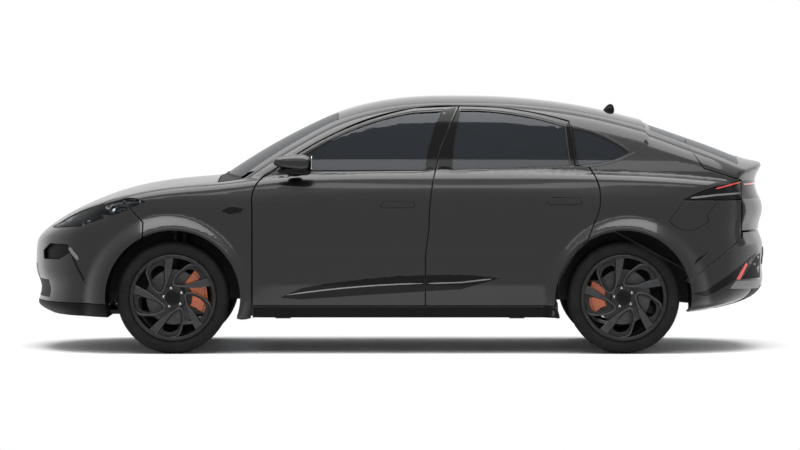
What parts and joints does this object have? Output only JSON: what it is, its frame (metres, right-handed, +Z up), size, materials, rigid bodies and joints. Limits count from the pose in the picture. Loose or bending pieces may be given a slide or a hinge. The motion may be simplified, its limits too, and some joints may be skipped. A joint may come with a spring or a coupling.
{
  "type": "electric sport utility vehicle",
  "caption": "Coupe-roofed electric sport utility vehicle with opening doors, bonnet and tailgate, steered front wheels and a floor battery.",
  "frame": {"origin": "on the ground at the middle of the overall length and width", "axes": "+X rearwards, +Y to the car's right, +Z up"},
  "size_m": [4.8986, 2.22, 1.6907],
  "materials": {
    "paint": "metallic clear coat",
    "bumper_paint": "metallic clear coat",
    "tinted_glass": "dark tint",
    "clear_glass": "light tint",
    "lamp_lens": "clear lens over a bright housing",
    "tail_lens": "dark red lens",
    "cast_parts": "rough",
    "wheel_alloy": "dark satin",
    "tyre": "matt",
    "black_steel": "matt black coat",
    "black_plastic": "grained",
    "battery_case": "rough",
    "alloy_case": "as cast",
    "seat_leather": "grained"
  },
  "bodies": {
    "body": {"side_frame_left": "paint", "side_frame_right": "paint", "front_wing_left": "paint", "front_wing_right": "paint", "front_bumper": "bumper_paint", "headlamps": "lamp_lens", "rear_bumper": "bumper_paint", "tail_lamps": "tail_lens", "roof_panel": "paint", "windscreen": "clear_glass", "quarter_glass": "tinted_glass", "underbody": "black_steel", "front_bay_cover": "black_plastic", "battery_pack": "battery_case", "front_suspension": "cast_parts", "rear_suspension": "cast_parts", "rear_drive_unit": "alloy_case", "wheel_arch_liners": "black_plastic", "dashboard": "black_plastic", "front_seats": "seat_leather", "rear_bench": "seat_leather"},
    "bonnet": {"bonnet": "paint"},
    "tailgate": {"tailgate": "paint", "rear_glass": "tinted_glass"},
    "steering_wheel": {"steering_wheel": "seat_leather"},
    "front_door_left": {"front_door_left": "paint", "front_door_glass_left": "tinted_glass", "mirror_left": "paint"},
    "rear_door_left": {"rear_door_left": "paint", "rear_door_glass_left": "tinted_glass"},
    "knuckle_left": {"knuckle_left": "cast_parts"},
    "front_wheel_left": {"front_wheel_left": "wheel_alloy", "front_tyre_left": "tyre"},
    "rear_wheel_left": {"rear_wheel_left": "wheel_alloy", "rear_tyre_left": "tyre"},
    "front_door_right": {"front_door_right": "paint", "front_door_glass_right": "tinted_glass", "mirror_right": "paint"},
    "rear_door_right": {"rear_door_right": "paint", "rear_door_glass_right": "tinted_glass"},
    "knuckle_right": {"knuckle_right": "cast_parts"},
    "front_wheel_right": {"front_wheel_right": "wheel_alloy", "front_tyre_right": "tyre"},
    "rear_wheel_right": {"rear_wheel_right": "wheel_alloy", "rear_tyre_right": "tyre"}
  },
  "joints": [
    {"name": "bonnet_hinge", "type": "hinge", "parent": "body", "child": "bonnet", "pos_m": [-1.196, 0, 1.162], "axis": [0, 1, 0], "range_deg": [0, 50]},
    {"name": "tailgate_hinge", "type": "hinge", "parent": "body", "child": "tailgate", "pos_m": [1.622, 0, 1.524], "axis": [0, -1, 0], "range_deg": [0, 75]},
    {"name": "front_door_hinge_left", "type": "hinge", "parent": "body", "child": "front_door_left", "pos_m": [-0.901, -0.945, 0.75], "axis": [0, 0, -1], "range_deg": [0, 68]},
    {"name": "rear_door_hinge_left", "type": "hinge", "parent": "body", "child": "rear_door_left", "pos_m": [0.231, -0.96, 0.75], "axis": [0, 0, -1], "range_deg": [0, 68]},
    {"name": "front_door_hinge_right", "type": "hinge", "parent": "body", "child": "front_door_right", "pos_m": [-0.901, 0.945, 0.75], "axis": [0, 0, 1], "range_deg": [0, 68]},
    {"name": "rear_door_hinge_right", "type": "hinge", "parent": "body", "child": "rear_door_right", "pos_m": [0.231, 0.96, 0.75], "axis": [0, 0, 1], "range_deg": [0, 68]},
    {"name": "steering_left", "type": "hinge", "parent": "body", "child": "knuckle_left", "pos_m": [-1.486, -0.755, 0.225], "axis": [0, 0.1743, 0.9847], "range_deg": [-31, 31]},
    {"name": "front_wheel_spin_left", "type": "hinge", "parent": "knuckle_left", "child": "front_wheel_left", "pos_m": [-1.486, -0.84, 0.367], "axis": [0, 1, 0], "continuous": true},
    {"name": "rear_wheel_spin_left", "type": "hinge", "parent": "body", "child": "rear_wheel_left", "pos_m": [1.464, -0.84, 0.367], "axis": [0, 1, 0], "continuous": true},
    {"name": "steering_right", "type": "hinge", "parent": "body", "child": "knuckle_right", "pos_m": [-1.486, 0.755, 0.225], "axis": [0, -0.1743, 0.9847], "range_deg": [-31, 31]},
    {"name": "front_wheel_spin_right", "type": "hinge", "parent": "knuckle_right", "child": "front_wheel_right", "pos_m": [-1.486, 0.84, 0.367], "axis": [0, 1, 0], "continuous": true},
    {"name": "rear_wheel_spin_right", "type": "hinge", "parent": "body", "child": "rear_wheel_right", "pos_m": [1.464, 0.84, 0.367], "axis": [0, 1, 0], "continuous": true},
    {"name": "steering_wheel_turn", "type": "hinge", "parent": "body", "child": "steering_wheel", "pos_m": [-0.47, -0.37, 0.96], "axis": [0.9063, 0, 0.4226], "range_deg": [-410, 410]}
  ],
  "couplings": [
    {"joint": "steering_right", "follows": "steering_left", "ratio": 1},
    {"joint": "steering_wheel_turn", "follows": "steering_left", "ratio": 13}
  ]
}
